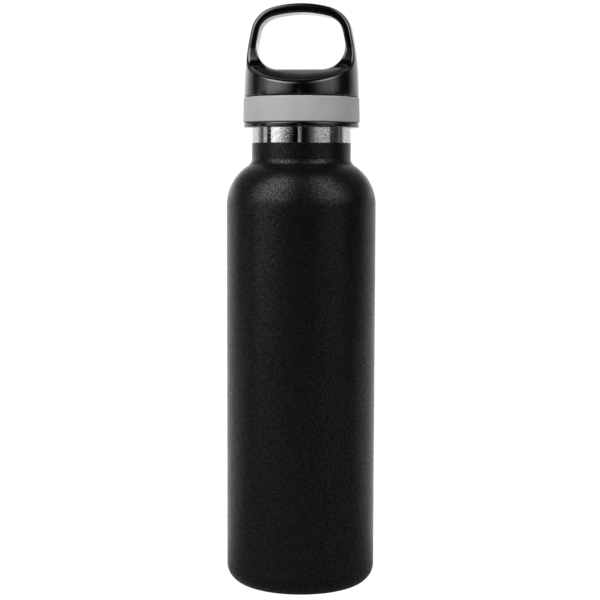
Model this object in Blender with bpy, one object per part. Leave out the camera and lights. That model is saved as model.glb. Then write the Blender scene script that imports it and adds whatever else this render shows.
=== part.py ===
"""Insulated steel water bottle with a screw cap, a silicone grip ring and a rigid loop handle.

Metres, +Z up. The bottle stands on z = 0 and every round piece turns about the Z axis, which is also
the axis that the cap screws on. The handle's loop is seen along Y, with its opening in the XZ plane.
"""

import math

import bmesh
import bpy

# Driving dimensions of the bottle.
BODY_RADIUS = 0.0367
BASE_CORNER = 0.0090
SHOULDER_CENTRE = (0.0137, 0.1884)
SHOULDER_RADIUS = BODY_RADIUS - SHOULDER_CENTRE[0]
NECK_RADIUS = 0.0243
NECK_FILLET = 0.0043
OUTER_WALL = 0.0005
OUTER_SEAM_Z = 0.0100
FOOT_INNER_RADIUS = 0.0217
DOME_Z = 0.0022

# The liner and what stands in the vacuum gap.
LINER_RADIUS = 0.0324
LINER_WALL = 0.0004
LINER_BOTTOM_Z = 0.0105
LINER_CORNER = 0.0080
LINER_SEAM_Z = 0.0200
LINER_SHOULDER_Z = 0.1868
THROAT_RADIUS = 0.0216
LIP_Z = 0.2304
LIP_HEIGHT = 0.0014
SHIELD_WALL = 0.0001
SHIELD_Z = (0.0240, 0.1840)
PORT_HOLE_RADIUS = 0.0008
PORT_DIMPLE_RADIUS = 0.0060
PORT_DIMPLE_RISE = 0.0020
GETTER_X = 0.0135
GETTER_RADIUS = 0.0046
GETTER_HEIGHT = 0.0022
GETTER_WALL = 0.0004
PELLET_EDGE = 0.0003

# The screw thread: three starts, so one turn lifts the cap by three pitches.
THREAD_PITCH = 0.0040
THREAD_STARTS = 3
THREAD_LEAD = THREAD_PITCH * THREAD_STARTS
THREAD_BASE_WIDTH = 0.0022
THREAD_CREST_WIDTH = 0.0011
THREAD_ROOTED = 0.0003
LINER_THREAD_Z = 0.2172
LINER_THREAD_CREST = 0.0205
LINER_THREAD_SPAN = math.radians(200)
PLUG_THREAD_CREST = 0.0212
PLUG_THREAD_SPAN = math.radians(150)

# The plug, whose flange is the rim that shows under the grip ring.
PLUG_RADIUS = 0.0199
PLUG_WALL = 0.0020
PLUG_BOTTOM_Z = 0.2090
END_CAP_DROP = 0.0018
RIM_Z = 0.2261
RIM_RADIUS = 0.0283
RIM_ROUNDING = 0.0006
SKIRT_INNER_RADIUS = 0.0249
DECK_Z = 0.2328
DECK_THICKNESS = 0.0020
GASKET_INNER_RADIUS = 0.0203
GASKET_OUTER_RADIUS = 0.0243
GASKET_EDGE = 0.0004

# The grip ring and the cap with its handle.
RING_Z = (0.2287, 0.2409)
RING_INNER_RADIUS = 0.0262
RING_RADII = (0.0286, 0.0283)
RING_EDGE = 0.0004
CAP_RADIUS = 0.0282
CAP_CAVITY_RADIUS = 0.0234
CAP_CAVITY_Z = 0.2430
CAP_TOP_Z = 0.2865
BARREL_CENTRE_Z = 0.2436
BARREL_CURVE = 0.1350
CORNER_START_Z = 0.2738
CORNER_RADIUS = 0.0144
HANDLE_BAND = 0.0045
HANDLE_HALF_DEPTH = 0.0070
OPENING_FLOOR_Z = 0.2540
OPENING_CORNER = 0.0115
SLOPE_START = (0.0281, 0.2475)
SLOPE_ANGLE = math.radians(26)
SLOPE_FILLET = 0.0120

GAP = 0.0003
FLANGE_Z = RING_Z[1] + GAP
SEGMENTS = 40
SMALL_SEGMENTS = 20
THREAD_STEP = math.radians(10)
SMOOTH_ANGLE = math.radians(35)


def clear_scene():
    for obj in list(bpy.data.objects):
        bpy.data.objects.remove(obj)


def make_material(name, colour, roughness, metallic=0.0):
    material = bpy.data.materials.new(name)
    material.use_nodes = True
    shader = material.node_tree.nodes["Principled BSDF"]
    shader.inputs["Base Color"].default_value = (*colour, 1)
    shader.inputs["Roughness"].default_value = roughness
    shader.inputs["Metallic"].default_value = metallic
    return material


def make_empty(name, parent=None):
    empty = bpy.data.objects.new(name, None)
    empty.parent = parent
    bpy.context.scene.collection.objects.link(empty)
    return empty


def make_object(name, bm, parent=None, material=None):
    """An object from a bmesh, which is freed. Without a material it is a helper that only shapes others."""
    bmesh.ops.recalc_face_normals(bm, faces=bm.faces)
    mesh = bpy.data.meshes.new(name)
    bm.to_mesh(mesh)
    bm.free()
    obj = bpy.data.objects.new(name, mesh)
    obj.parent = parent
    bpy.context.scene.collection.objects.link(obj)
    if material is None:
        obj.hide_render = True
        obj.display_type = "WIRE"
    else:
        mesh.materials.append(material)
        mesh.shade_smooth()
        mesh.set_sharp_from_angle(angle=SMOOTH_ANGLE)
    return obj


def arc(centre, radius, start, end, steps):
    """Points on an arc between two angles in degrees, ends included."""
    points = []
    for i in range(steps + 1):
        angle = math.radians(start + (end - start) * i / steps)
        points.append((centre[0] + radius * math.cos(angle), centre[1] + radius * math.sin(angle)))
    return points


def revolve(name, profile, parent, material, segments=SEGMENTS):
    """A solid turned about Z from a closed outline of (radius, height) points."""
    bm = bmesh.new()
    verts = [bm.verts.new((r, 0, z)) for r, z in profile]
    edges = [bm.edges.new((verts[i - 1], verts[i])) for i in range(len(verts))]
    bmesh.ops.spin(
        bm,
        geom=verts + edges,
        cent=(0, 0, 0),
        axis=(0, 0, 1),
        angle=2 * math.pi,
        steps=segments,
        use_merge=True,
    )
    bmesh.ops.remove_doubles(bm, verts=bm.verts, dist=1e-6)
    return make_object(name, bm, parent, material)


def prism(bm, outline, along):
    """Adds a prism to a bmesh: an outline of points with z as the second number, drawn out along an axis."""
    reach = 2 * BODY_RADIUS

    def at(point, side):
        if along == "X":
            return (side, point[0], point[1])
        return (point[0], side, point[1])

    start = bm.faces.new([bm.verts.new(at(p, -reach / 2)) for p in outline])
    made = bmesh.ops.extrude_face_region(bm, geom=[start])["geom"]
    moved = [v for v in made if isinstance(v, bmesh.types.BMVert)]
    step = (reach, 0, 0) if along == "X" else (0, reach, 0)
    bmesh.ops.translate(bm, verts=moved, vec=step)


def thread_ridges(name, root, crest, start_z, span, parent):
    """One ridge for each start, a trapezoid swept up a right-hand helix between two radii."""
    bm = bmesh.new()
    half_base = THREAD_BASE_WIDTH / 2
    half_crest = THREAD_CREST_WIDTH / 2
    section = ((root, -half_base), (crest, -half_crest), (crest, half_crest), (root, half_base))
    steps = round(span / THREAD_STEP)
    for start in range(THREAD_STARTS):
        rings = []
        for i in range(steps + 1):
            turned = span * i / steps
            angle = 2 * math.pi * start / THREAD_STARTS + turned
            lift = start_z + THREAD_LEAD * turned / (2 * math.pi)
            points = [(r * math.cos(angle), r * math.sin(angle), lift + dz) for r, dz in section]
            rings.append([bm.verts.new(point) for point in points])
        for low, high in zip(rings, rings[1:]):
            for k in range(len(section)):
                bm.faces.new((low[k - 1], low[k], high[k], high[k - 1]))
        bm.faces.new(rings[0])
        bm.faces.new(rings[-1])
    return make_object(name, bm, parent)


def boolean(obj, helper, operation):
    modifier = obj.modifiers.new(helper.name, "BOOLEAN")
    modifier.operation = operation
    modifier.solver = "EXACT"
    modifier.object = helper


# The steel bottle.


def shoulder_wall(centre, radius, neck_radius, fillet, steps):
    """From the shoulder's widest point up to the foot of the neck, with a hollow fillet between the two."""
    reach = radius + fillet
    fillet_x = neck_radius + fillet
    angle = math.degrees(math.acos((fillet_x - centre[0]) / reach))
    fillet_z = centre[1] + reach * math.sin(math.radians(angle))
    bulge = arc(centre, radius, 0, angle, steps)
    hollow = arc((fillet_x, fillet_z), fillet, angle + 180, 180, 2)
    return bulge + hollow[1:]


def make_outer_shell(bottle, steel):
    outside = shoulder_wall(SHOULDER_CENTRE, SHOULDER_RADIUS, NECK_RADIUS, NECK_FILLET, 6)
    inside = shoulder_wall(
        SHOULDER_CENTRE,
        SHOULDER_RADIUS - OUTER_WALL,
        NECK_RADIUS - OUTER_WALL,
        NECK_FILLET + OUTER_WALL,
        6,
    )
    bottom = OUTER_SEAM_Z + GAP / 2
    top = LIP_Z - LIP_HEIGHT - GAP
    profile = [(BODY_RADIUS, bottom)]
    profile += outside
    profile += [(NECK_RADIUS, top), (NECK_RADIUS - OUTER_WALL, top)]
    profile += reversed(inside)
    profile += [(BODY_RADIUS - OUTER_WALL, bottom)]
    revolve("outer_shell", profile, bottle, steel)


def make_outer_base(bottle, steel):
    """A cup with a flat foot, a raised centre and a dimple round the evacuation port."""
    corner = (BODY_RADIUS - BASE_CORNER, BASE_CORNER)
    top = OUTER_SEAM_Z - GAP / 2
    dome_top = DOME_Z + OUTER_WALL
    dimple = DOME_Z + PORT_DIMPLE_RISE
    wall_radius = FOOT_INNER_RADIUS
    profile = [(PORT_HOLE_RADIUS, dimple), (PORT_DIMPLE_RADIUS - PORT_DIMPLE_RISE, dimple)]
    profile += [(PORT_DIMPLE_RADIUS, DOME_Z), (wall_radius, DOME_Z), (wall_radius, 0)]
    profile += arc(corner, BASE_CORNER, -90, 0, 5)
    profile += [(BODY_RADIUS, top), (BODY_RADIUS - OUTER_WALL, top)]
    profile += arc(corner, BASE_CORNER - OUTER_WALL, 0, -90, 5)
    profile += [(wall_radius + OUTER_WALL, OUTER_WALL), (wall_radius + OUTER_WALL, dome_top)]
    profile += [(PORT_DIMPLE_RADIUS + OUTER_WALL, dome_top)]
    profile += [(PORT_DIMPLE_RADIUS - PORT_DIMPLE_RISE + OUTER_WALL, dimple + OUTER_WALL)]
    profile += [(PORT_HOLE_RADIUS, dimple + OUTER_WALL)]
    revolve("outer_base", profile, bottle, steel)


def make_base_disc(bottle, steel):
    top = DOME_Z - GAP
    bottom = top - OUTER_WALL
    radius = FOOT_INNER_RADIUS - GAP
    edge = OUTER_WALL / 3
    profile = [(0, bottom), (radius - edge, bottom), (radius, bottom + edge), (radius, top), (0, top)]
    revolve("base_disc", profile, bottle, steel)


def make_vacuum_port_plug(bottle, solder):
    """A bead in the dimple under the port: flat against the steel and domed below."""
    radius = PORT_DIMPLE_RADIUS / 2
    height = PORT_DIMPLE_RISE / 2
    top = DOME_Z + PORT_DIMPLE_RISE - GAP
    dome_radius = (radius**2 + height**2) / (2 * height)
    half_angle = math.degrees(math.asin(radius / dome_radius))
    dome = arc((0, top - height + dome_radius), dome_radius, -90, half_angle - 90, 4)
    revolve("vacuum_port_plug", dome + [(0, top)], bottle, solder, SMALL_SEGMENTS)


def make_inner_vessel(bottle, steel):
    """The liner: tube, shoulder, threaded neck and the rolled lip that closes the vacuum gap."""
    centre = (SHOULDER_CENTRE[0], LINER_SHOULDER_Z)
    radius = LINER_RADIUS - SHOULDER_CENTRE[0]
    neck = THROAT_RADIUS + LINER_WALL
    outside = shoulder_wall(centre, radius, neck, NECK_FILLET, 5)
    inside = shoulder_wall(centre, radius - LINER_WALL, THROAT_RADIUS, NECK_FILLET + LINER_WALL, 5)
    bottom = LINER_SEAM_Z + GAP / 2
    lip_base = LIP_Z - LIP_HEIGHT
    rounding = LIP_HEIGHT / 2
    profile = [(LINER_RADIUS, bottom)]
    profile += outside
    profile += [(neck, lip_base)]
    profile += arc((NECK_RADIUS - rounding, LIP_Z - rounding), rounding, -90, 90, 4)
    profile += arc((THROAT_RADIUS + LINER_WALL, LIP_Z - LINER_WALL), LINER_WALL, 90, 180, 2)
    profile += reversed(inside)
    profile += [(LINER_RADIUS - LINER_WALL, bottom)]
    vessel = revolve("inner_vessel", profile, bottle, steel)
    ridges = thread_ridges(
        "liner_thread",
        THROAT_RADIUS + THREAD_ROOTED,
        LINER_THREAD_CREST,
        LINER_THREAD_Z,
        LINER_THREAD_SPAN,
        bottle,
    )
    boolean(vessel, ridges, "UNION")


def make_inner_base(bottle, steel):
    corner = (LINER_RADIUS - LINER_CORNER, LINER_BOTTOM_Z + LINER_CORNER)
    top = LINER_SEAM_Z - GAP / 2
    profile = [(0, LINER_BOTTOM_Z)]
    profile += arc(corner, LINER_CORNER, -90, 0, 5)
    profile += [(LINER_RADIUS, top), (LINER_RADIUS - LINER_WALL, top)]
    profile += arc(corner, LINER_CORNER - LINER_WALL, 0, -90, 5)
    profile += [(0, LINER_BOTTOM_Z + LINER_WALL)]
    revolve("inner_base", profile, bottle, steel)


def make_copper_shield(bottle, copper):
    inner = LINER_RADIUS + GAP
    outer = inner + SHIELD_WALL
    low, high = SHIELD_Z
    revolve("copper_shield", [(inner, low), (outer, low), (outer, high), (inner, high)], bottle, copper)


def make_getter(bottle, steel, grey):
    """A pellet in a pressed tray, standing in the vacuum gap beside the port."""
    floor = DOME_Z + OUTER_WALL + GAP
    height = GETTER_HEIGHT
    inner = GETTER_RADIUS - GETTER_WALL
    cup_profile = [(0, 0), (GETTER_RADIUS, 0), (GETTER_RADIUS, height), (inner, height)]
    cup_profile += [(inner, GETTER_WALL), (0, GETTER_WALL)]
    cup = revolve("getter_cup", cup_profile, bottle, steel, SMALL_SEGMENTS)
    cup.location = (GETTER_X, 0, floor)
    radius = inner - GAP
    pellet_profile = [(0, 0), (radius, 0), (radius, height - PELLET_EDGE)]
    pellet_profile += [(radius - PELLET_EDGE, height), (0, height)]
    pellet = revolve("getter_pellet", pellet_profile, bottle, grey, SMALL_SEGMENTS)
    pellet.location = (GETTER_X, 0, floor + GETTER_WALL + GAP)


# The seal and the cap.


def make_mouth_gasket(seal, silicone):
    bottom = LIP_Z + GAP
    top = DECK_Z - GAP
    edge = GASKET_EDGE
    profile = [(GASKET_INNER_RADIUS, bottom + edge), (GASKET_INNER_RADIUS + edge, bottom)]
    profile += [(GASKET_OUTER_RADIUS - edge, bottom), (GASKET_OUTER_RADIUS, bottom + edge)]
    profile += [(GASKET_OUTER_RADIUS, top), (GASKET_INNER_RADIUS, top)]
    revolve("mouth_gasket", profile, seal, silicone)


def make_threaded_plug(cap, plastic):
    """A hollow plug hung from a deck, with a skirt round the neck that ends in the rim below the ring."""
    skirt = RING_INNER_RADIUS - GAP
    deck_top = DECK_Z + DECK_THICKNESS
    rim_top = RING_Z[0] - GAP
    profile = [(0, deck_top), (skirt, deck_top), (skirt, rim_top)]
    profile += [(RIM_RADIUS - GAP, rim_top), (RIM_RADIUS, rim_top - GAP)]
    profile += arc((RIM_RADIUS - RIM_ROUNDING, RIM_Z + RIM_ROUNDING), RIM_ROUNDING, 0, -90, 3)
    profile += [(SKIRT_INNER_RADIUS, RIM_Z), (SKIRT_INNER_RADIUS, DECK_Z)]
    profile += [(PLUG_RADIUS, DECK_Z), (PLUG_RADIUS, PLUG_BOTTOM_Z)]
    profile += [(PLUG_RADIUS - PLUG_WALL, PLUG_BOTTOM_Z), (PLUG_RADIUS - PLUG_WALL, DECK_Z), (0, DECK_Z)]
    plug = revolve("threaded_plug", profile, cap, plastic)
    ridges = thread_ridges(
        "plug_thread",
        PLUG_RADIUS - THREAD_ROOTED,
        PLUG_THREAD_CREST,
        LINER_THREAD_Z - THREAD_PITCH / 2,
        PLUG_THREAD_SPAN,
        cap,
    )
    boolean(plug, ridges, "UNION")


def make_plug_end_cap(cap, plastic):
    """A disc with a spigot that closes the plug from below."""
    spigot = PLUG_RADIUS - PLUG_WALL - GAP
    flange_radius = PLUG_RADIUS - GAP
    bottom = PLUG_BOTTOM_Z - END_CAP_DROP
    shoulder = PLUG_BOTTOM_Z - GAP
    top = PLUG_BOTTOM_Z + END_CAP_DROP
    rounding = END_CAP_DROP / 3
    profile = [(0, bottom)]
    profile += arc((flange_radius - rounding, bottom + rounding), rounding, -90, 0, 2)
    profile += [(flange_radius, shoulder), (spigot, shoulder), (spigot, top), (0, top)]
    revolve("plug_end_cap", profile, cap, plastic)


def make_plug_foam(cap, foam):
    radius = PLUG_RADIUS - PLUG_WALL - GAP
    bottom = PLUG_BOTTOM_Z + END_CAP_DROP + GAP
    top = DECK_Z - GAP
    revolve("plug_foam", [(0, bottom), (radius, bottom), (radius, top), (0, top)], cap, foam)


def make_grip_ring(cap, silicone):
    low, high = RING_Z
    wide, narrow = RING_RADII
    profile = [(RING_INNER_RADIUS, low), (wide - RING_EDGE, low), (wide, low + RING_EDGE)]
    profile += [(narrow, high - RING_EDGE), (narrow - RING_EDGE, high), (RING_INNER_RADIUS, high)]
    revolve("grip_ring", profile, cap, silicone)


def loop_outline(inset, steps, lower_corner=None):
    """Half the loop's outline, moved in by an inset: the barrel-shaped side, the corner and half the crown.

    It runs up to the middle of the top, and each stretch leaves the last one without a kink. Without a
    lower corner it starts at the cap's flange, and with one at the bottom of that corner's arc.
    """
    barrel = (CAP_RADIUS - BARREL_CURVE, BARREL_CENTRE_Z)
    side_angle = math.asin((CORNER_START_Z - BARREL_CENTRE_Z) / BARREL_CURVE)
    out = BARREL_CURVE - CORNER_RADIUS
    corner = (barrel[0] + out * math.cos(side_angle), barrel[1] + out * math.sin(side_angle))
    drop = CAP_TOP_Z - corner[1]
    crown_curve = (drop**2 + corner[0] ** 2 - CORNER_RADIUS**2) / (2 * (drop - CORNER_RADIUS))
    crown = (0, CAP_TOP_Z - crown_curve)
    crown_angle = math.degrees(math.atan2(corner[1] - crown[1], corner[0]))
    side = math.degrees(side_angle)
    if lower_corner:
        radius, floor_z = lower_corner
        reach = BARREL_CURVE - inset - radius
        join_angle = math.asin((floor_z + radius - barrel[1]) / reach)
        centre = (barrel[0] + reach * math.cos(join_angle), floor_z + radius)
        start = math.degrees(join_angle)
        points = arc(centre, radius, -90, start, steps)[:-1]
    else:
        start = -math.degrees(math.asin((BARREL_CENTRE_Z - FLANGE_Z - GAP) / BARREL_CURVE))
        points = []
    points += arc(barrel, BARREL_CURVE - inset, start, side, steps)
    points += arc(corner, CORNER_RADIUS - inset, side, crown_angle, steps)[1:]
    points += arc(crown, crown_curve - inset, crown_angle, 90, steps)[1:]
    return points


def make_opening_cutter(cap):
    """The opening: the loop's own outline moved in by the band, on a flat floor with round corners."""
    right = loop_outline(HANDLE_BAND, 5, (OPENING_CORNER, OPENING_FLOOR_Z))
    left = [(-x, z) for x, z in reversed(right) if x > GAP]
    bm = bmesh.new()
    prism(bm, right + left, along="Y")
    return make_object("opening_cutter", bm, cap)


def make_side_cutter(cap):
    """What is cut away before and behind the handle: a slope that sweeps up into the handle's faces."""
    reach = BODY_RADIUS
    rise = math.tan(SLOPE_ANGLE)
    foot = (reach, SLOPE_START[1] - (reach - SLOPE_START[0]) * rise)
    meet_z = SLOPE_START[1] + (SLOPE_START[0] - HANDLE_HALF_DEPTH) * rise
    tangent = SLOPE_FILLET * math.tan((math.pi / 2 - SLOPE_ANGLE) / 2)
    centre = (HANDLE_HALF_DEPTH + SLOPE_FILLET, meet_z + tangent)
    sweep = arc(centre, SLOPE_FILLET, -90 - math.degrees(SLOPE_ANGLE), -180, 6)
    above = 2 * CAP_TOP_Z - OPENING_FLOOR_Z
    outline = [foot] + sweep + [(HANDLE_HALF_DEPTH, above), (reach, above)]
    bm = bmesh.new()
    prism(bm, outline, along="X")
    prism(bm, [(-y, z) for y, z in outline], along="X")
    return make_object("side_cutter", bm, cap)


def make_cap_body(cap, plastic):
    """A cap turned in one piece with a tall barrel, from which the handle's faces and opening are cut."""
    hub_radius = RING_INNER_RADIUS - GAP
    hub_bottom = DECK_Z + DECK_THICKNESS + GAP
    profile = [(0, CAP_CAVITY_Z), (CAP_CAVITY_RADIUS, CAP_CAVITY_Z), (CAP_CAVITY_RADIUS, hub_bottom)]
    profile += [(hub_radius, hub_bottom), (hub_radius, FLANGE_Z), (CAP_RADIUS - GAP, FLANGE_Z)]
    profile += loop_outline(0, 6)
    body = revolve("cap_body", profile, cap, plastic)
    boolean(body, make_side_cutter(cap), "DIFFERENCE")
    boolean(body, make_opening_cutter(cap), "DIFFERENCE")


def main():
    clear_scene()
    steel = make_material("brushed_steel", (0.62, 0.62, 0.60), 0.30, 1.0)
    coated = make_material("black_powder_coat", (0.012, 0.012, 0.013), 0.55)
    coated_base = make_material("black_powder_coat_base", (0.012, 0.012, 0.013), 0.55)
    liner = make_material("liner_steel", (0.60, 0.60, 0.58), 0.35, 1.0)
    liner_base = make_material("liner_base_steel", (0.60, 0.60, 0.58), 0.35, 1.0)
    pressed = make_material("getter_cup_steel", (0.55, 0.55, 0.54), 0.40, 1.0)
    copper = make_material("copper", (0.80, 0.42, 0.28), 0.30, 1.0)
    solder = make_material("solder", (0.50, 0.50, 0.48), 0.40, 1.0)
    pellet = make_material("getter_grey", (0.20, 0.20, 0.20), 0.90)
    seal_silicone = make_material("clear_silicone", (0.75, 0.75, 0.73), 0.50)
    ring_silicone = make_material("grey_silicone", (0.36, 0.36, 0.36), 0.60)
    gloss_black = make_material("gloss_black", (0.008, 0.008, 0.008), 0.20)
    plug_black = make_material("plug_black", (0.010, 0.010, 0.010), 0.25)
    end_cap_black = make_material("end_cap_black", (0.010, 0.010, 0.010), 0.30)
    foam = make_material("white_foam", (0.85, 0.84, 0.80), 0.95)

    bottle = make_empty("bottle_axis")
    seal = make_empty("cap_lift_axis", bottle)
    cap = make_empty("cap_turn_axis", seal)

    make_outer_shell(bottle, coated)
    make_outer_base(bottle, coated_base)
    make_base_disc(bottle, steel)
    make_vacuum_port_plug(bottle, solder)
    make_inner_vessel(bottle, liner)
    make_inner_base(bottle, liner_base)
    make_copper_shield(bottle, copper)
    make_getter(bottle, pressed, pellet)
    make_mouth_gasket(seal, seal_silicone)
    make_threaded_plug(cap, plug_black)
    make_plug_end_cap(cap, end_cap_black)
    make_plug_foam(cap, foam)
    make_grip_ring(cap, ring_silicone)
    make_cap_body(cap, gloss_black)


main()
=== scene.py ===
import math

import bmesh
import bpy
import numpy as np
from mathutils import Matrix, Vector


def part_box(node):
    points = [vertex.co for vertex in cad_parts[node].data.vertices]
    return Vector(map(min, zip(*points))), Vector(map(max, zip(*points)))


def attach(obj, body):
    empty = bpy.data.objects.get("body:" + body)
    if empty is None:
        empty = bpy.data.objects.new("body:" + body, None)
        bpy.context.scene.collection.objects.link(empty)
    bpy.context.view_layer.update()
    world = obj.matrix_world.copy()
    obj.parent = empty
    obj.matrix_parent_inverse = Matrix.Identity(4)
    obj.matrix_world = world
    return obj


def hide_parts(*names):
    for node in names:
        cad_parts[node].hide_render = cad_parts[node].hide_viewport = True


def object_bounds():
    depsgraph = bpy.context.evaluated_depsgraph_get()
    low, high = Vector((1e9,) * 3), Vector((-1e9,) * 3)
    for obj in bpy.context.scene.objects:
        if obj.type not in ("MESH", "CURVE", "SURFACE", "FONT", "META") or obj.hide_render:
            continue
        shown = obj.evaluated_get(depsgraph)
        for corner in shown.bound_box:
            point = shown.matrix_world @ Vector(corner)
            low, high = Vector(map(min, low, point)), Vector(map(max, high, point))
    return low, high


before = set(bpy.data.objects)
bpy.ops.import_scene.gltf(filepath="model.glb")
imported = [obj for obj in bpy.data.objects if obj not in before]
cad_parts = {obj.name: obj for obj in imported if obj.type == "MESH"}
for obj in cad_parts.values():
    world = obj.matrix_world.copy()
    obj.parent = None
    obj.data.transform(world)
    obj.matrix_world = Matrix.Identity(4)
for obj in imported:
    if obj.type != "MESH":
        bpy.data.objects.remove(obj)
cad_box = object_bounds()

# Sizes in metres. Places come from the frame; these are the finer shapes that the frame leaves out.
GAP = 0.0003
COAT = 0.00006
OUTER_WALL = 0.0005
LINER_WALL = 0.0004
PAINT_EDGE_Z = 0.2188
SHOULDER_CENTRE = (0.0137, 0.1884)
LINER_SHOULDER_Z = 0.1868
NECK_RADIUS = 0.0243
NECK_FILLET = 0.0043
THROAT_RADIUS = 0.0216
BASE_CORNER = 0.0090
LINER_CORNER = 0.0080
LIP_ROUNDING = 0.0007
PORT_DEPTH = 0.0020
PORT_RADII = (0.0008, 0.0040, 0.0060)

THREAD_PITCH = 0.0040
THREAD_STARTS = 3
THREAD_LEAD = THREAD_PITCH * THREAD_STARTS
THREAD_WIDTH = 0.0021
THREAD_FADE = math.radians(18)
LINER_THREAD = {"start_z": 0.2172, "height": -0.0011, "span": math.radians(200)}
LINER_THREAD_Z = (0.2140, 0.2270)
PLUG_THREAD = {"start_z": 0.2152, "height": 0.0013, "span": math.radians(150)}
PLUG_THREAD_Z = (0.2120, 0.2250)

PLUG_RADIUS = 0.0199
PLUG_WALL = 0.0020
RIM_Z = 0.2261
SKIRT_INNER_RADIUS = 0.0249
HUB_RADIUS = 0.0259
SPIGOT_RADIUS = 0.0176
RING_INNER_RADIUS = 0.0262
RING_TAPER = 0.0003
GASKET_INSET = 0.0013

# The cap: the loop's outline, its opening, the slopes that sweep up into the handle, and its rounded edges.
BARREL_CURVE = 0.1350
BARREL_CENTRE_Z = 0.2436
CORNER_START_Z = 0.2738
CORNER_RADIUS = 0.0144
HANDLE_BAND = 0.0045
CROWN_BAND = 0.0049
CROWN_BAND_Z = (0.2760, 0.2815)
HANDLE_HALF_DEPTH = 0.0070
OPENING_FLOOR_Z = 0.2540
OPENING_CORNER = 0.0115
SLOPE_START = (0.0281, 0.2475)
SLOPE_ANGLE = math.radians(26)
SLOPE_FILLET = 0.0120
SLOPE_CHAMFER = 0.00025
SLOPE_EDGE = 0.0010
WALL_EDGE = 0.0004
OUTER_EDGE = 0.0009
EDGE_Z = (0.2520, 0.2600)
INNER_EDGE = 0.0009
FLANGE_EDGE = 0.0004
CAVITY_RADIUS = 0.0234
CAVITY_Z = 0.2430
CAP_CELL = 0.00045

TURN_STEPS = 192
SHARP = math.radians(40)

# The camera: its distance from the bottle's axis, height, turn, tilt and lens.
CAMERA_DISTANCE = 0.751
CAMERA_HEIGHT = 0.209
CAMERA_AZIMUTH = math.radians(4.5)
CAMERA_PITCH = 0.0900
CAMERA_ROLL = -0.0028
CAMERA_LENS = 91.1
CAMERA_SHIFT = -0.0023


# Mesh helpers.


def arc(centre, radius, start, end, steps):
    """Points on an arc between two angles in radians, ends included."""
    turns = np.linspace(start, end, steps + 1)
    return [(centre[0] + radius * math.cos(t), centre[1] + radius * math.sin(t)) for t in turns]


def rounded(corners, steps=5):
    """A closed outline from (radius, height, rounding) corners, with an arc at each rounded one."""
    outline = []
    for i, (x, z, rounding) in enumerate(corners):
        here = Vector((x, z))
        if rounding == 0:
            outline.append((x, z))
            continue
        before = (Vector(corners[i - 1][:2]) - here).normalized()
        after = (Vector(corners[(i + 1) % len(corners)][:2]) - here).normalized()
        half = before.angle(after) / 2
        centre = here + (before + after).normalized() * (rounding / math.sin(half))
        start = here + before * (rounding / math.tan(half)) - centre
        end = here + after * (rounding / math.tan(half)) - centre
        turn = start.angle_signed(end)
        first = math.atan2(start.y, start.x)
        outline += arc(centre, rounding, first, first - turn, steps)
    return outline


def finished(name, mesh, body, node, materials):
    """The object for a mesh: it rides on its body, stands for its CAD node and takes its materials."""
    obj = bpy.data.objects.new(name, mesh)
    bpy.context.scene.collection.objects.link(obj)
    for material in materials:
        mesh.materials.append(material)
    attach(obj, body)
    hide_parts(node)
    return obj


def turned(name, profile, body, node, materials, ridges=None, slot_of=None):
    """A round piece turned about Z from a closed outline of (radius, height) points.

    ridges(angle, radius, height) gives how far each point moves out from the axis, and slot_of(radius,
    height) the number of the material for a face at that place.
    """
    points = np.array(profile)
    angle = np.arange(TURN_STEPS) * 2 * math.pi / TURN_STEPS
    radius = np.repeat(points[:, :1], TURN_STEPS, axis=1)
    height = np.repeat(points[:, 1:], TURN_STEPS, axis=1)
    angle = np.repeat(angle[None, :], len(points), axis=0)
    if ridges:
        radius = radius + ridges(angle, radius, height)
    verts = np.stack([radius * np.cos(angle), radius * np.sin(angle), height], axis=-1).reshape(-1, 3)
    row = np.arange(len(points))[:, None] * TURN_STEPS
    next_row = np.roll(row, -1, axis=0)
    column = np.arange(TURN_STEPS)[None, :]
    next_column = np.roll(column, -1, axis=1)
    quads = np.stack([row + column, row + next_column, next_row + next_column, next_row + column], axis=-1)
    mesh = bpy.data.meshes.new(name)
    mesh.from_pydata(verts.tolist(), [], quads.reshape(-1, 4).tolist())
    bm = bmesh.new()
    bm.from_mesh(mesh)
    bmesh.ops.remove_doubles(bm, verts=bm.verts, dist=1e-7)
    bmesh.ops.recalc_face_normals(bm, faces=bm.faces)
    bm.to_mesh(mesh)
    bm.free()
    mesh.shade_smooth()
    mesh.set_sharp_from_angle(angle=SHARP)
    obj = finished(name, mesh, body, node, materials)
    if slot_of:
        for face in mesh.polygons:
            centre = face.center
            face.material_index = slot_of(math.hypot(centre.x, centre.y), centre.z)
    weighted = obj.modifiers.new("weighted", "WEIGHTED_NORMAL")
    weighted.keep_sharp = True
    return obj


def thread(start_z, height, span):
    """How far a threaded wall stands out at each place: round ridges up a right-hand helix, one per start."""

    def ridges(angle, radius, z):
        out = np.zeros_like(radius)
        for start in range(THREAD_STARTS):
            turned_by = (angle - 2 * math.pi * start / THREAD_STARTS) % (2 * math.pi)
            away = np.abs(z - start_z - THREAD_LEAD * turned_by / (2 * math.pi)) / (THREAD_WIDTH / 2)
            shape = np.clip(1.5 * (1 - away**2), 0, 1)
            shape = shape * shape * (3 - 2 * shape)
            ends = np.minimum(turned_by, span - turned_by) / THREAD_FADE
            out = np.maximum(out, shape * np.clip(ends, 0, 1))
        return out * height

    return ridges


def on_wall(ridges, wall_radius, stretch):
    """The same ridges, but only on the wall at that radius and between two heights, both ends included."""
    slack = 0.0001

    def limited(angle, radius, z):
        there = (np.abs(radius - wall_radius) < 1e-5) & (z > stretch[0] - slack) & (z < stretch[1] + slack)
        return np.where(there, ridges(angle, radius, z), 0)

    return limited


def fine_wall(radius, start_z, end_z, step=0.0002):
    """Points up or down a straight wall, close enough for a thread to show on it."""
    count = round(abs(end_z - start_z) / step)
    return [(radius, z) for z in np.linspace(start_z, end_z, count + 1)]


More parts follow.
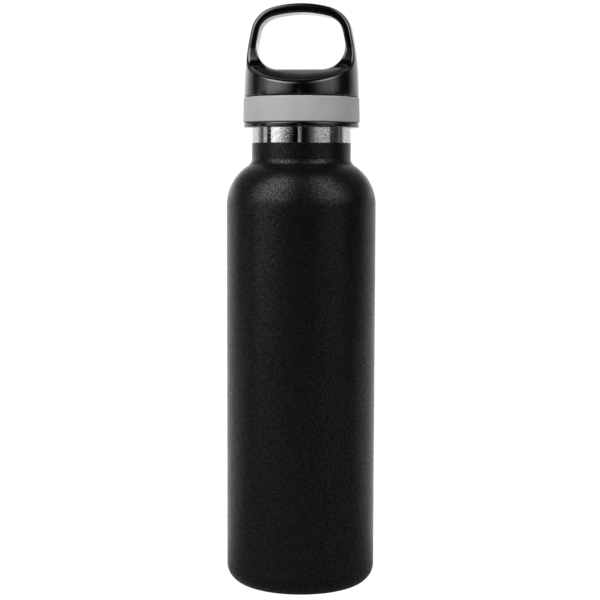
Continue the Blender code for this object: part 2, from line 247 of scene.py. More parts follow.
def isosurface(field, low, high, cell):
    """Vertices, quads and normals of the surface where a field is zero.

    There is one vertex in each cell that the surface crosses, and it is then moved onto the surface.
    """
    axes = [np.arange(low[i], high[i] + cell, cell) for i in range(3)]
    value = field(*np.meshgrid(*axes, indexing="ij"))
    inside = value < 0
    counts = np.array(value.shape) - 1
    total = np.zeros(counts)
    place = np.zeros((*counts, 3))
    for axis in range(3):
        near = np.take(value, range(counts[axis]), axis)
        far = np.take(value, range(1, counts[axis] + 1), axis)
        crosses = (near < 0) != (far < 0)
        share = np.where(crosses, near / np.where(crosses, near - far, 1), 0)
        others = [a for a in range(3) if a != axis]
        for a in (0, 1):
            for b in (0, 1):
                cut = [slice(None)] * 3
                cut[others[0]] = slice(a, a + counts[others[0]])
                cut[others[1]] = slice(b, b + counts[others[1]])
                hit = crosses[tuple(cut)]
                total += hit
                offset = np.zeros((*counts, 3))
                offset[..., axis] = share[tuple(cut)]
                offset[..., others[0]] = a
                offset[..., others[1]] = b
                place += offset * hit[..., None]
    used = total > 0
    index = np.full(tuple(counts), -1)
    index[used] = np.arange(used.sum())
    corner = np.stack(np.nonzero(used), axis=-1)
    origin = np.array([a[0] for a in axes])
    verts = origin + cell * (corner + place[used] / total[used][:, None])
    quads = []
    for axis in range(3):
        b, c = (axis + 1) % 3, (axis + 2) % 3
        low_side = np.take(inside, range(counts[axis]), axis)
        high_side = np.take(inside, range(1, counts[axis] + 1), axis)
        edges = np.stack(np.nonzero(low_side != high_side), axis=-1)
        rising = low_side[tuple(edges.T)]
        ring = []
        for step_b, step_c in ((-1, -1), (0, -1), (0, 0), (-1, 0)):
            at = edges.copy()
            at[:, b] += step_b
            at[:, c] += step_c
            ring.append(index[tuple(at.T)])
        ring = np.stack(ring, axis=-1)
        ring[~rising] = ring[~rising][:, ::-1]
        quads.append(ring)
    quads = np.concatenate(quads)
    for _ in range(4):
        slope = gradient(field, verts)
        verts = verts - slope * (field(*verts.T) / (slope**2).sum(axis=1))[:, None]
    slope = gradient(field, verts)
    return verts, quads, slope / np.linalg.norm(slope, axis=1)[:, None]


def gradient(field, points, reach=2e-6):
    """The direction in which a field grows fastest at each point."""
    slope = np.zeros_like(points)
    for axis in range(3):
        step = np.zeros(3)
        step[axis] = reach
        slope[:, axis] = (field(*(points + step).T) - field(*(points - step).T)) / (2 * reach)
    return slope


def both(a, b, rounding):
    """The solid that two solids share, given as distances outside each, with the edge they make rounded."""
    over = np.hypot(np.maximum(a + rounding, 0), np.maximum(b + rounding, 0))
    return np.minimum(np.maximum(a, b), -rounding) + over


# Materials. Each has its own function, and all of their patterns are in metres on the object itself.


class Tree:
    """A material's node tree, with short ways to add the nodes that feed its Principled BSDF."""

    def __init__(self, name, settings):
        self.material = bpy.data.materials.new(name)
        self.material.use_nodes = True
        self.nodes = self.material.node_tree.nodes
        self.links = self.material.node_tree.links
        self.shader = self.nodes["Principled BSDF"]
        for key, value in settings.items():
            self.shader.inputs[key].default_value = value
        self.place = self.nodes.new("ShaderNodeTexCoord").outputs["Object"]

    def noise(self, scale, detail=2.0, stretch=None):
        """Noise from 0 to 1, with so many cells to the metre, and stretched along the axes if asked."""
        place = self.place
        if stretch:
            mapping = self.nodes.new("ShaderNodeMapping")
            mapping.inputs["Scale"].default_value = stretch
            self.links.new(place, mapping.inputs["Vector"])
            place = mapping.outputs["Vector"]
        texture = self.nodes.new("ShaderNodeTexNoise")
        texture.inputs["Scale"].default_value = scale
        texture.inputs["Detail"].default_value = detail
        self.links.new(place, texture.inputs["Vector"])
        return texture.outputs["Fac"]

    def remap(self, value, low, high, start=0.3, end=0.7):
        """A value from start to end made one from low to high."""
        node = self.nodes.new("ShaderNodeMapRange")
        for key, setting in (("From Min", start), ("From Max", end), ("To Min", low), ("To Max", high)):
            node.inputs[key].default_value = setting
        self.links.new(value, node.inputs["Value"])
        return node.outputs["Result"]

    def colours(self, value, first, second):
        """A colour between two, by a value from 0 to 1."""
        node = self.nodes.new("ShaderNodeMix")
        node.data_type = "RGBA"
        node.inputs["A"].default_value = (*first, 1)
        node.inputs["B"].default_value = (*second, 1)
        self.links.new(value, node.inputs["Factor"])
        return node.outputs["Result"]

    def feed(self, socket, value):
        self.links.new(value, self.shader.inputs[socket])

    def bump(self, height, distance, strength=1.0, over=None):
        """A bump that stands so many metres high, on top of another if one is given."""
        node = self.nodes.new("ShaderNodeBump")
        node.inputs["Distance"].default_value = distance
        node.inputs["Strength"].default_value = strength
        self.links.new(height, node.inputs["Height"])
        if over:
            self.links.new(over, node.inputs["Normal"])
        return node.outputs["Normal"]


def powder_coat():
    """Fine-grained matte black: a sandy grain over a soft orange peel, with specks that catch the light."""
    tree = Tree("powder_coat", {})
    grain = tree.noise(1550, 3)
    peel = tree.noise(420, 2)
    speck = tree.remap(tree.noise(1500, 3), 0, 1, 0.40, 0.64)
    tree.feed("Base Color", tree.colours(speck, (0.0012, 0.0012, 0.0012), (0.0036, 0.0036, 0.0036)))
    tree.feed("Specular IOR Level", tree.remap(grain, 0.03, 0.19, 0.40, 0.62))
    tree.feed("Roughness", tree.remap(tree.noise(90, 2), 0.23, 0.29))
    coarse = tree.bump(peel, 0.00008, 0.5)
    tree.feed("Normal", tree.bump(grain, 0.00012, 0.6, coarse))
    return tree.material


def polished_steel():
    """Polished stainless steel: lines round the neck left by the polishing wheel, over a mottled surface."""
    tree = Tree("polished_steel", {"Metallic": 1.0})
    lines = tree.noise(1.0, 3, (60, 60, 6000))
    cloud = tree.noise(1500, 2)
    mottle = tree.remap(cloud, 0, 1)
    tree.feed("Base Color", tree.colours(mottle, (0.27, 0.27, 0.266), (0.70, 0.70, 0.69)))
    tree.feed("Roughness", tree.remap(lines, 0.03, 0.06))
    fine = tree.bump(lines, 0.000004, 0.4)
    tree.feed("Normal", tree.bump(cloud, 0.000022, 0.6, fine))
    return tree.material


def satin_steel(name, colour=(0.56, 0.56, 0.55), stretch=(40, 40, 3000)):
    """Satin stainless steel, brushed round the axis."""
    tree = Tree(name, {"Metallic": 1.0})
    lines = tree.noise(1.0, 4, stretch)
    darker = tuple(c * 0.85 for c in colour)
    tree.feed("Base Color", tree.colours(tree.remap(lines, 0, 1), darker, colour))
    tree.feed("Roughness", tree.remap(tree.noise(150, 3), 0.24, 0.36))
    tree.feed("Normal", tree.bump(lines, 0.00001, 0.5))
    return tree.material


def gloss_black():
    """Glossy black moulding: a slight waviness from the mould and a fine haze of handling marks."""
    tree = Tree("gloss_black", {"Specular IOR Level": 0.5})
    haze = tree.noise(700, 4)
    tint = tree.remap(haze, 0, 1)
    tree.feed("Base Color", tree.colours(tint, (0.0006, 0.0006, 0.0007), (0.0016, 0.0016, 0.0017)))
    tree.feed("Roughness", tree.remap(tree.noise(240, 3), 0.08, 0.13))
    wavy = tree.bump(tree.noise(110, 1), 0.00003, 0.5)
    tree.feed("Normal", tree.bump(haze, 0.000004, 0.4, wavy))
    return tree.material


def grey_silicone():
    """Matte grey silicone with a velvety grain and slightly cloudy colour."""
    tree = Tree("grey_silicone", {"Specular IOR Level": 0.4, "Sheen Weight": 0.05})
    cloud = tree.remap(tree.noise(120, 3), 0, 1)
    tree.feed("Base Color", tree.colours(cloud, (0.200, 0.200, 0.202), (0.225, 0.225, 0.227)))
    tree.feed("Roughness", tree.remap(tree.noise(500, 3), 0.50, 0.62))
    tree.feed("Normal", tree.bump(tree.noise(2200, 2), 0.00003, 0.5))
    return tree.material


def seal_silicone():
    """Milky translucent silicone."""
    tree = Tree("seal_silicone", {"Specular IOR Level": 0.5})
    cloud = tree.noise(200, 3)
    tree.feed("Base Color", tree.colours(tree.remap(cloud, 0, 1), (0.66, 0.66, 0.64), (0.76, 0.76, 0.74)))
    tree.feed("Roughness", tree.remap(cloud, 0.35, 0.50))
    tree.feed("Normal", tree.bump(tree.noise(1800, 2), 0.00002, 0.5))
    return tree.material


def copper_foil():
    """Bright copper wrap, crinkled as thin foil is."""
    tree = Tree("copper_foil", {"Metallic": 1.0})
    crinkle = tree.noise(120, 4)
    tree.feed("Base Color", tree.colours(tree.remap(crinkle, 0, 1), (0.70, 0.34, 0.22), (0.86, 0.46, 0.32)))
    tree.feed("Roughness", tree.remap(tree.noise(60, 2), 0.22, 0.36))
    tree.feed("Normal", tree.bump(crinkle, 0.0002, 0.5))
    return tree.material


def grainy(name, dark, light, scale, roughness, height, metallic=0.0):
    """A plain grainy stuff such as foam, solder or pressed powder."""
    tree = Tree(name, {"Metallic": metallic})
    grain = tree.noise(scale, 3)
    tree.feed("Base Color", tree.colours(tree.remap(grain, 0, 1), dark, light))
    tree.feed("Roughness", tree.remap(tree.noise(scale / 4, 2), roughness - 0.06, roughness + 0.06))
    tree.feed("Normal", tree.bump(grain, height, 0.7))
    return tree.material


# The steel bottle.


def shoulder_wall(centre, radius, neck_radius, fillet, steps):
    """From the shoulder's widest point up to the foot of the neck, with a hollow fillet between the two."""
    reach = radius + fillet
    fillet_x = neck_radius + fillet
    angle = math.acos((fillet_x - centre[0]) / reach)
    foot = (fillet_x, centre[1] + reach * math.sin(angle))
    bulge = arc(centre, radius, 0, angle, steps)
    return bulge + arc(foot, fillet, angle + math.pi, math.pi, steps // 4)[1:]


def make_outer_shell(coat, steel):
    """The drawn steel tube. Its coat ends in a small step on the neck, above which the steel is bare."""
    low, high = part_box("outer_shell")
    radius = high.x
    seam = (low.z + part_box("outer_base")[1].z) / 2
    shoulder = radius - SHOULDER_CENTRE[0]
    outside = shoulder_wall(SHOULDER_CENTRE, shoulder, NECK_RADIUS, NECK_FILLET, 40)
    wall = OUTER_WALL
    inside = shoulder_wall(SHOULDER_CENTRE, shoulder - wall, NECK_RADIUS - wall, NECK_FILLET + wall, 40)
    bare = NECK_RADIUS - COAT
    chamfer = 0.0002
    margin = 0.002
    profile = [(radius, seam), (radius, seam + margin), (radius, SHOULDER_CENTRE[1] - margin)]
    profile += outside
    profile += arc((bare, PAINT_EDGE_Z - COAT), COAT, 0, math.pi / 2, 3)
    profile += [(bare, PAINT_EDGE_Z + COAT), (bare, high.z - chamfer), (bare - chamfer, high.z)]
    profile += [(NECK_RADIUS - wall, high.z)]
    profile += reversed(inside)
    profile += [(radius - wall, seam)]

    def slot_of(r, z):
        """Steel, the second material, above the coat's edge and on the inner side of the straight wall."""
        on_neck = z > PAINT_EDGE_Z - COAT / 2
        inner_side = z < SHOULDER_CENTRE[1] and r < radius - wall / 2
        return int(on_neck or inner_side)

    materials = [coat, steel]
    turned("outer_shell_coated", profile, "bottle", "outer_shell", materials, slot_of=slot_of)


def make_outer_base(coat):
    """The bottom cup: a round corner, a flat foot and a raised centre."""
    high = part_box("outer_base")[1]
    seam = (high.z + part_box("outer_shell")[0].z) / 2
    radius = high.x
    wall = OUTER_WALL
    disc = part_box("base_disc")[1]
    rim = disc.x + GAP
    dome = disc.z + GAP
    port = dome + PORT_DEPTH
    hole, port_top, port_foot = PORT_RADII
    foot_rounding = 0.0008
    corner = (radius - BASE_CORNER, BASE_CORNER)
    profile = [(hole, port), (port_top, port), (port_foot, dome), (rim - 0.0004, dome)]
    profile += arc((rim + foot_rounding, foot_rounding), foot_rounding, math.pi, 1.5 * math.pi, 6)
    profile += arc(corner, BASE_CORNER, -math.pi / 2, 0, 24)
    profile += [(radius, seam - 0.0004), (radius, seam), (radius - wall, seam)]
    profile += arc(corner, BASE_CORNER - wall, 0, -math.pi / 2, 24)
    profile += [(rim + wall, wall), (rim + wall, dome + wall), (port_foot + wall, dome + wall)]
    profile += [(port_top + wall, port + wall), (hole, port + wall)]
    turned("outer_base_coated", profile, "bottle", "outer_base", [coat])


def make_base_disc(steel):
    """The thin cover disc, with a shallow groove pressed round it."""
    low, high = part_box("base_disc")
    radius = high.x
    groove = radius * 0.82
    half_width = 0.0006
    profile = rounded(
        [
            (0, low.z, 0),
            (groove - half_width, low.z, 0.0002),
            (groove, low.z + 0.0002, 0.0002),
            (groove + half_width, low.z, 0.0002),
            (radius, low.z, 0.0002),
            (radius, high.z, 0.0001),
            (0, high.z, 0),
        ]
    )
    turned("base_disc_brushed", profile, "bottle", "base_disc", [steel])


def make_inner_vessel(steel):
    """The liner, with the rolled lip and the rolled thread inside its neck."""
    low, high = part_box("inner_vessel")
    radius = high.x
    wall = LINER_WALL
    neck = THROAT_RADIUS + wall
    centre = (SHOULDER_CENTRE[0], LINER_SHOULDER_Z)
    shoulder = radius - centre[0]
    outside = shoulder_wall(centre, shoulder, neck, NECK_FILLET, 24)
    inside = shoulder_wall(centre, shoulder - wall, THROAT_RADIUS, NECK_FILLET + wall, 24)
    lip = LIP_ROUNDING
    thread_low, thread_high = LINER_THREAD_Z
    profile = [(radius, low.z)] + outside + [(neck, high.z - 2 * lip)]
    profile += arc((NECK_RADIUS - lip, high.z - lip), lip, -math.pi / 2, math.pi / 2, 10)
    profile += arc((THROAT_RADIUS + lip, high.z - lip), lip, math.pi / 2, math.pi, 6)
    profile += fine_wall(THROAT_RADIUS, thread_high, thread_low)
    profile += reversed(inside)
    profile += [(radius - wall, low.z)]
    ridges = on_wall(thread(**LINER_THREAD), THROAT_RADIUS, LINER_THREAD_Z)
    turned("inner_vessel_liner", profile, "bottle", "inner_vessel", [steel], ridges=ridges)


def make_inner_base(steel):
    """The liner's dished bottom."""
    low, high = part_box("inner_base")
    radius = high.x
    wall = LINER_WALL
    corner = (radius - LINER_CORNER, low.z + LINER_CORNER)
    profile = [(0, low.z)] + arc(corner, LINER_CORNER, -math.pi / 2, 0, 16)
    profile += [(radius, high.z), (radius - wall, high.z)]
    profile += arc(corner, LINER_CORNER - wall, 0, -math.pi / 2, 16) + [(0, low.z + wall)]
    turned("inner_base_dish", profile, "bottle", "inner_base", [steel])


# The seal and the cap.


def make_mouth_gasket(silicone):
    """A flat ring with a groove round the face that meets the lip."""
    low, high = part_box("mouth_gasket")
    inner = THROAT_RADIUS - GASKET_INSET
    outer = high.x
    middle = (inner + outer) / 2
    half_width = 0.0008
    profile = rounded(
        [
            (inner, low.z, 0.0004),
            (middle - half_width, low.z, 0.0002),
            (middle, low.z + 0.0004, 0.0002),
            (middle + half_width, low.z, 0.0002),
            (outer, low.z, 0.0005),
            (outer, high.z, 0.0003),
            (inner, high.z, 0.0003),
        ]
    )
    turned("mouth_gasket_ring", profile, "seal", "mouth_gasket", [silicone])


def make_threaded_plug(black):
    """The plug with its thread, its deck and the rim that shows below the grip ring."""
    low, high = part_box("threaded_plug")
    ring_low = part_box("grip_ring")[0]
    rim = high.x
    inner = PLUG_RADIUS - PLUG_WALL
    deck = high.z - PLUG_WALL
    thread_low, thread_high = PLUG_THREAD_Z
    rim_top = ring_low.z - GAP
    bands = [(0, high.z, 0), (HUB_RADIUS, high.z, 0.0003), (HUB_RADIUS, rim_top, 0)]
    bands += [(rim, rim_top, 0.0004), (rim, RIM_Z, 0.0006), (SKIRT_INNER_RADIUS, RIM_Z, 0.0003)]
    bands += [(SKIRT_INNER_RADIUS, deck, 0.0002), (PLUG_RADIUS, deck, 0.0002)]
    foot = [(PLUG_RADIUS, thread_low, 0), (PLUG_RADIUS, low.z, 0.0003)]
    foot += [(inner, low.z, 0.0003), (inner, deck, 0)]
    outline = rounded(bands + [(PLUG_RADIUS, thread_high, 0)])[:-1]
    outline += fine_wall(PLUG_RADIUS, thread_high, thread_low)
    outline += rounded(foot)[1:]
    outline += [(0, deck)]
    ridges = on_wall(thread(**PLUG_THREAD), PLUG_RADIUS, PLUG_THREAD_Z)
    turned("threaded_plug_moulding", outline, "cap", "threaded_plug", [black], ridges=ridges)


def make_plug_end_cap(black):
    """The disc that closes the plug: a shallow dish below, and a spigot above that fits inside the plug."""
    low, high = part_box("plug_end_cap")
    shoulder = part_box("threaded_plug")[0].z - GAP
    dish = high.x * 0.72
    profile = rounded(
        [
            (0, low.z + 0.0004, 0),
            (dish, low.z + 0.0004, 0.0010),
            (dish + 0.0010, low.z, 0.0004),
            (high.x, low.z, 0.0006),
            (high.x, shoulder, 0.0002),
            (SPIGOT_RADIUS, shoulder, 0),
            (SPIGOT_RADIUS, high.z, 0.0002),
            (0, high.z, 0),
        ]
    )
    turned("plug_end_cap_disc", profile, "cap", "plug_end_cap", [black])


def make_grip_ring(silicone):
    """The silicone band, slightly narrower at the top."""
    low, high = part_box("grip_ring")
    corners = [
        (RING_INNER_RADIUS, low.z, 0.0003),
        (high.x, low.z, 0.0006),
        (high.x - RING_TAPER, high.z, 0.0006),
        (RING_INNER_RADIUS, high.z, 0.0003),
    ]
    profile = rounded(corners, 8)
    turned("grip_ring_band", profile, "cap", "grip_ring", [silicone])


class Cap:
    """The cap's shape as distances outside its surfaces, all in metres."""

    def __init__(self):
        low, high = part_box("cap_body")
        self.low, self.high = low, high
        self.radius = high.x
        self.flange_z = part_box("grip_ring")[1].z + GAP
        self.barrel = (self.radius - BARREL_CURVE, BARREL_CENTRE_Z)
        self.side = math.asin((CORNER_START_Z - BARREL_CENTRE_Z) / BARREL_CURVE)
        out = BARREL_CURVE - CORNER_RADIUS
        self.corner = (self.barrel[0] + out * math.cos(self.side), self.barrel[1] + out * math.sin(self.side))
        drop = high.z - self.corner[1]
        self.crown_curve = (drop**2 + self.corner[0] ** 2 - CORNER_RADIUS**2) / (2 * (drop - CORNER_RADIUS))
        self.crown_z = high.z - self.crown_curve
        self.crown_angle = math.atan2(self.corner[1] - self.crown_z, self.corner[0])

    def outline(self, x, z):
        """Distance outside the loop's outline, seen from the front."""
        x = np.abs(x)
        angle = np.arctan2(z - self.corner[1], x - self.corner[0])
        barrel = np.hypot(x - self.barrel[0], z - self.barrel[1]) - BARREL_CURVE
        corner = np.hypot(x - self.corner[0], z - self.corner[1]) - CORNER_RADIUS
        crown = np.hypot(x, z - self.crown_z) - self.crown_curve
        return np.where(angle > self.crown_angle, crown, np.where(angle > self.side, corner, barrel))

    def opening(self, x, z):
        """Distance outside the loop's opening: the outline moved in by the band, over a rounded floor."""
        upper = self.outline(x, z) + np.interp(z, CROWN_BAND_Z, (HANDLE_BAND, CROWN_BAND))
        reach = BARREL_CURVE - HANDLE_BAND - OPENING_CORNER
        centre_z = OPENING_FLOOR_Z + OPENING_CORNER
        centre_x = self.barrel[0] + math.sqrt(reach**2 - (centre_z - self.barrel[1]) ** 2)
        join = math.asin((centre_z - self.barrel[1]) / reach)
        x = np.abs(x)
        angle = np.arctan2(z - centre_z, x - centre_x)
        corner = np.hypot(x - centre_x, z - centre_z) - OPENING_CORNER
        floor = OPENING_FLOOR_Z - z
        lower = np.where(x > centre_x, corner, floor)
        return np.where(angle > join, upper, lower)

    def sides(self, y, z):
        """Distance outside the handle's two faces and the slopes that sweep up into them."""
        y = np.abs(y)
        rise = math.tan(SLOPE_ANGLE)
        meet_z = SLOPE_START[1] + (SLOPE_START[0] - HANDLE_HALF_DEPTH) * rise
        centre_y = HANDLE_HALF_DEPTH + SLOPE_FILLET
        centre_z = meet_z + SLOPE_FILLET * math.tan((math.pi / 2 - SLOPE_ANGLE) / 2)
        face = y - HANDLE_HALF_DEPTH
        slope = (z - meet_z) * math.cos(SLOPE_ANGLE) + (y - HANDLE_HALF_DEPTH) * math.sin(SLOPE_ANGLE)
        sweep = SLOPE_FILLET - np.hypot(y - centre_y, z - centre_z)
        angle = np.arctan2(centre_z - z, centre_y - y)
        in_sweep = (angle > 0) & (angle < math.pi / 2 - SLOPE_ANGLE)
        return np.where(in_sweep, sweep, np.where(z > centre_z, face, np.where(angle > 0, slope, face)))

    def distance(self, x, y, z):
        """Distance outside the whole cap: the handle and its slopes, the hub inside the ring, the cavity."""
        radius = np.hypot(x, y)
        shell = both(self.outline(radius, z), self.flange_z - z, FLANGE_EDGE)
        sides = self.sides(y, z)
        cut = np.interp(z, EDGE_Z, (SLOPE_CHAMFER, 0))
        chamfer = (shell + sides) / (2 * math.cos((math.pi / 2 - SLOPE_ANGLE) / 2)) + cut
        sloped = both(sides, chamfer, np.interp(z, EDGE_Z, (SLOPE_EDGE, OUTER_EDGE)))
        handle = both(shell, sloped, np.interp(z, EDGE_Z, (WALL_EDGE, OUTER_EDGE)))
        handle = both(handle, -self.opening(x, z), INNER_EDGE)
        hub = np.maximum(np.maximum(radius - HUB_RADIUS, self.low.z - z), z - CAVITY_Z)
        solid = np.minimum(handle, hub)
        cavity = np.maximum(radius - CAVITY_RADIUS, z - CAVITY_Z)
        return both(solid, -cavity, FLANGE_EDGE)


def make_cap_body(black):
    """The cap and its handle as one smooth skin, with every edge rounded."""
    cap = Cap()
    margin = Vector((CAP_CELL, CAP_CELL, CAP_CELL)) * 1.5
    verts, quads, normals = isosurface(cap.distance, cap.low - margin, cap.high + margin, CAP_CELL)
    mesh = bpy.data.meshes.new("cap_body_moulding")
    mesh.from_pydata(verts.tolist(), [], quads.tolist())
    mesh.shade_smooth()
    mesh.normals_split_custom_set_from_vertices(normals.tolist())
    finished("cap_body_moulding", mesh, "cap", "cap_body", [black])


def dress_hidden_nodes():
    """The CAD nodes whose shape is already right keep it, and get a material of their own."""
    finishes = {
        "vacuum_port_plug": grainy("solder", (0.34, 0.34, 0.33), (0.50, 0.50, 0.48), 900, 0.42, 0.00004, 1.0),
        "copper_shield": copper_foil(),
        "getter_cup": satin_steel("getter_cup_steel", (0.50, 0.50, 0.49)),
        "getter_pellet": grainy("getter_powder", (0.14, 0.14, 0.14), (0.24, 0.24, 0.23), 2500, 0.88, 0.00006),
        "plug_foam": grainy("plug_foam", (0.74, 0.73, 0.69), (0.88, 0.87, 0.83), 1300, 0.92, 0.0002),
    }
    for name, material in finishes.items():
        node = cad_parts[name]
        node.data.materials.clear()
        node.data.materials.append(material)


# The studio.


def azimuth_of(tree, vector):
    """The angle about Z of a direction, from 0 to 1 with a half towards -Y, and the direction's height."""
    split = tree.nodes.new("ShaderNodeSeparateXYZ")
    tree.links.new(vector, split.inputs["Vector"])
    backwards = tree.nodes.new("ShaderNodeMath")
    backwards.operation = "MULTIPLY"
    backwards.inputs[1].default_value = -1
    tree.links.new(split.outputs["Y"], backwards.inputs[0])
    turn = tree.nodes.new("ShaderNodeMath")
    turn.operation = "ARCTAN2"
    tree.links.new(split.outputs["X"], turn.inputs[0])
    tree.links.new(backwards.outputs["Value"], turn.inputs[1])
    share = tree.nodes.new("ShaderNodeMapRange")
    share.inputs["From Min"].default_value = -math.pi
    share.inputs["From Max"].default_value = math.pi
    tree.links.new(turn.outputs["Value"], share.inputs["Value"])
    return share.outputs["Result"], split.outputs["Z"]


# How bright the room and the floor look to the camera.
WHITE = 1.05

# The light from each side in three rings, each a run of (degrees round from the camera, brightness), with the
# degrees positive to the camera's right. Each ring has a white wall behind the object, a soft box on each
# side of the camera, and dark between them. The low ring has two narrow strips too, for the polished neck.
DARK = 0.002
LOW_LIGHT = (
    (-125, 1.15), (-110, 0.25), (-101, 0.15), (-97, 0.80), (-88, 0.90), (-87, DARK), (-75, DARK),
    (-73, 2.00), (-58, 1.45), (-40, 0.35), (-31, 0.22), (-28, DARK), (-8, DARK), (-6, 0.80), (-2, 0.20),
    (2, DARK), (14, 0.02), (27, 0.18), (36, 0.52), (67, 0.55), (71, 0.03), (92, 0.06), (99, 0.20),
    (106, 0.08), (110, 0.40), (118, 1.00),
)
MIDDLE_LIGHT = (
    (-140, 1.80), (-124, 1.00), (-110, 0.15), (-98, 0.15), (-80, 1.30), (-66, 3.40), (-48, 3.40),
    (-30, 1.55), (-18, 0.05), (-12, DARK), (14, DARK), (26, 0.25), (46, 1.70), (64, 1.95), (72, 1.10),
    (84, 0.08), (105, 0.03), (113, 0.25), (130, 1.15), (155, 1.40),
)
UPPER_LIGHT = (
    (-165, 1.00), (-145, 0.45), (-112, 0.25), (-96, 0.05), (-80, 2.50), (-64, 9.50), (-48, 9.50),
    (-28, 4.80), (-12, 0.60), (-4, 0.05), (8, 0.05), (20, 1.20), (42, 5.50), (60, 6.00), (74, 2.00),
    (88, 0.10), (112, 0.25), (145, 0.40), (165, 1.00),
)

# Where one ring fades into the next, as angles above the horizon, and where the top one fades into the dark.
MIDDLE = (math.radians(1.5), math.radians(2.8))
UPPER = (math.radians(8), math.radians(18))
TOP = (math.radians(61), math.radians(73))

# The floor's glow is a painted pool of light that the floor gives off behind the bottle. It starts at the
# first distance behind the bottle's axis and is full from the second one on.
FLOOR_GLOW_SPAN = (-0.02, 0.10)
FLOOR_GLOW = 0.6
FLOOR_RADIUS = 1.2


def light_ramp(tree, turn, stops):
    """The brightness of the light from each side."""
    ramp = tree.nodes.new("ShaderNodeValToRGB")
    tree.links.new(turn, ramp.inputs["Fac"])
    elements = ramp.color_ramp.elements
    elements.remove(elements[1])
    elements[0].position = stops[0][0] / 360 + 0.5
    for degrees, _ in stops[1:]:
        elements.new(degrees / 360 + 0.5)
    for element, (_, level) in zip(elements, stops):
        element.color = (level, level, level, 1)
    return ramp.outputs["Color"]


def fade(tree, value, start, end):
    """Nought where a direction's height is below one angle above the horizon, and one where above another."""
    node = tree.nodes.new("ShaderNodeMapRange")
    node.interpolation_type = "SMOOTHSTEP"
    node.inputs["From Min"].default_value = math.sin(start)
    node.inputs["From Max"].default_value = math.sin(end)
    tree.links.new(value, node.inputs["Value"])
    return node.outputs["Result"]


def blend(tree, share, first, second):
    """The first colour or brightness turning into the second as the share goes from 0 to 1."""
    node = tree.nodes.new("ShaderNodeMix")
    node.data_type = "RGBA"
    tree.links.new(share, node.inputs["Factor"])
    for value, socket in ((first, node.inputs["A"]), (second, node.inputs["B"])):
        if isinstance(value, float):
            socket.default_value = (value, value, value, 1)
        else:
            tree.links.new(value, socket)
    return node.outputs["Result"]


def camera_axis(tree):
    """The direction in which the camera looks."""
    ahead = tree.nodes.new("ShaderNodeVectorTransform")
    ahead.vector_type = "VECTOR"
    ahead.convert_from = "CAMERA"
    ahead.convert_to = "WORLD"
    ahead.inputs["Vector"].default_value = (0, 0, 1)
    return ahead.outputs["Vector"]


def make_studio():
    """Three rings of light under a dark top. They turn with the camera, which itself sees plain white."""
    world = bpy.data.worlds.new("studio")
    bpy.context.scene.world = world
    world.use_nodes = True
    tree = world.node_tree
    background = tree.nodes["Background"]
    place = tree.nodes.new("ShaderNodeTexCoord").outputs["Generated"]
    camera_turn, _ = azimuth_of(tree, camera_axis(tree))
    light_turn, height = azimuth_of(tree, place)
    apart = tree.nodes.new("ShaderNodeMath")
    apart.operation = "SUBTRACT"
    tree.links.new(light_turn, apart.inputs[0])
    tree.links.new(camera_turn, apart.inputs[1])
    wrap = tree.nodes.new("ShaderNodeMath")
    wrap.operation = "WRAP"
    wrap.inputs[1].default_value = 1
    wrap.inputs[2].default_value = 0
    tree.links.new(apart.outputs["Value"], wrap.inputs[0])
    low = light_ramp(tree, wrap.outputs["Value"], LOW_LIGHT)
    middle = light_ramp(tree, wrap.outputs["Value"], MIDDLE_LIGHT)
    upper = light_ramp(tree, wrap.outputs["Value"], UPPER_LIGHT)
    sides = blend(tree, fade(tree, height, *MIDDLE), low, middle)
    sides = blend(tree, fade(tree, height, *UPPER), sides, upper)
    room = blend(tree, fade(tree, height, *TOP), sides, DARK)
    tree.links.new(room, background.inputs["Color"])
    plain = tree.nodes.new("ShaderNodeBackground")
    plain.inputs["Strength"].default_value = WHITE
    plain.inputs["Color"].default_value = (1, 1, 1, 1)
    choose = tree.nodes.new("ShaderNodeMixShader")
    tree.links.new(tree.nodes.new("ShaderNodeLightPath").outputs["Is Camera Ray"], choose.inputs["Fac"])
    tree.links.new(background.outputs["Background"], choose.inputs[1])
    tree.links.new(plain.outputs["Background"], choose.inputs[2])
    tree.links.new(choose.outputs["Shader"], tree.nodes["World Output"].inputs["Surface"])


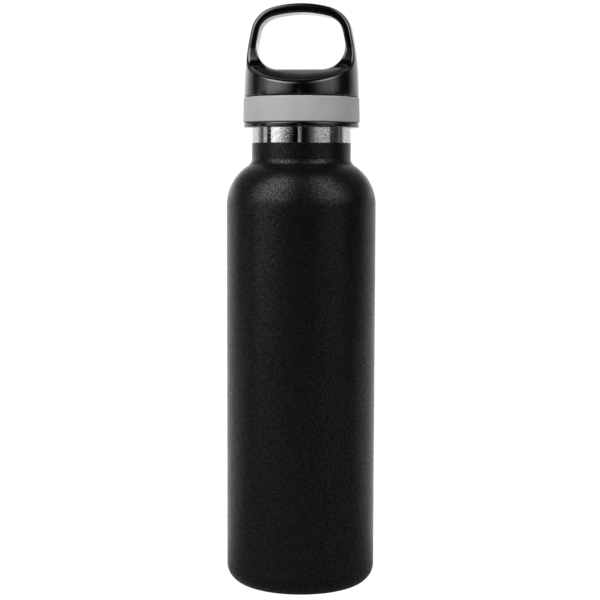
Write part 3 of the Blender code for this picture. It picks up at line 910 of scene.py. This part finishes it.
def make_floor():
    """A plain floor that the camera sees as white. The object sees it as pale, with a painted pool of light
    behind the object, where the floor itself glows.
    """
    tree = Tree("floor", {"Base Color": (0.25, 0.25, 0.25, 1), "Roughness": 0.9})
    behind = tree.nodes.new("ShaderNodeVectorMath")
    behind.operation = "DOT_PRODUCT"
    tree.links.new(tree.place, behind.inputs[0])
    tree.links.new(camera_axis(tree), behind.inputs[1])
    share = tree.nodes.new("ShaderNodeMapRange")
    share.interpolation_type = "SMOOTHSTEP"
    share.inputs["From Min"].default_value = FLOOR_GLOW_SPAN[0]
    share.inputs["From Max"].default_value = FLOOR_GLOW_SPAN[1]
    share.inputs["To Max"].default_value = FLOOR_GLOW
    tree.links.new(behind.outputs["Value"], share.inputs["Value"])
    # Painted pool of light: behind the bottle the floor glows by its own emission, though it is no lamp.
    tree.shader.inputs["Emission Color"].default_value = (1, 1, 1, 1)
    tree.feed("Emission Strength", share.outputs["Result"])
    glow = tree.nodes.new("ShaderNodeEmission")
    glow.inputs["Strength"].default_value = WHITE
    choose = tree.nodes.new("ShaderNodeMixShader")
    tree.links.new(tree.nodes.new("ShaderNodeLightPath").outputs["Is Camera Ray"], choose.inputs["Fac"])
    tree.links.new(tree.shader.outputs["BSDF"], choose.inputs[1])
    tree.links.new(glow.outputs["Emission"], choose.inputs[2])
    tree.links.new(choose.outputs["Shader"], tree.nodes["Material Output"].inputs["Surface"])
    bm = bmesh.new()
    bmesh.ops.create_circle(bm, cap_ends=True, segments=96, radius=FLOOR_RADIUS)
    mesh = bpy.data.meshes.new("floor")
    bm.to_mesh(mesh)
    bm.free()
    mesh.materials.append(tree.material)
    floor = bpy.data.objects.new("floor", mesh)
    floor.location.z = cad_box[0].z - 0.0002
    bpy.context.scene.collection.objects.link(floor)


def make_camera():
    """The camera, a little to the right of the handle's front and looking slightly down."""
    data = bpy.data.cameras.new("camera")
    data.lens = CAMERA_LENS
    data.sensor_width = 36
    data.shift_x = CAMERA_SHIFT
    camera = bpy.data.objects.new("camera", data)
    bpy.context.scene.collection.objects.link(camera)
    bpy.context.scene.camera = camera
    camera.location = (
        CAMERA_DISTANCE * math.sin(CAMERA_AZIMUTH),
        -CAMERA_DISTANCE * math.cos(CAMERA_AZIMUTH),
        CAMERA_HEIGHT,
    )
    camera.rotation_mode = "XYZ"
    camera.rotation_euler = (math.pi / 2 - CAMERA_PITCH, CAMERA_ROLL, CAMERA_AZIMUTH)


def main():
    coat = powder_coat()
    steel = polished_steel()
    liner = satin_steel("liner_steel")
    black = gloss_black()
    make_outer_shell(coat, steel)
    make_outer_base(coat)
    make_base_disc(satin_steel("base_disc_steel", stretch=(900, 900, 900)))
    make_inner_vessel(liner)
    make_inner_base(liner)
    make_mouth_gasket(seal_silicone())
    make_threaded_plug(black)
    make_plug_end_cap(black)
    make_grip_ring(grey_silicone())
    make_cap_body(black)
    dress_hidden_nodes()
    make_studio()
    make_floor()
    make_camera()
    bpy.context.scene.view_settings.view_transform = "Standard"


main()
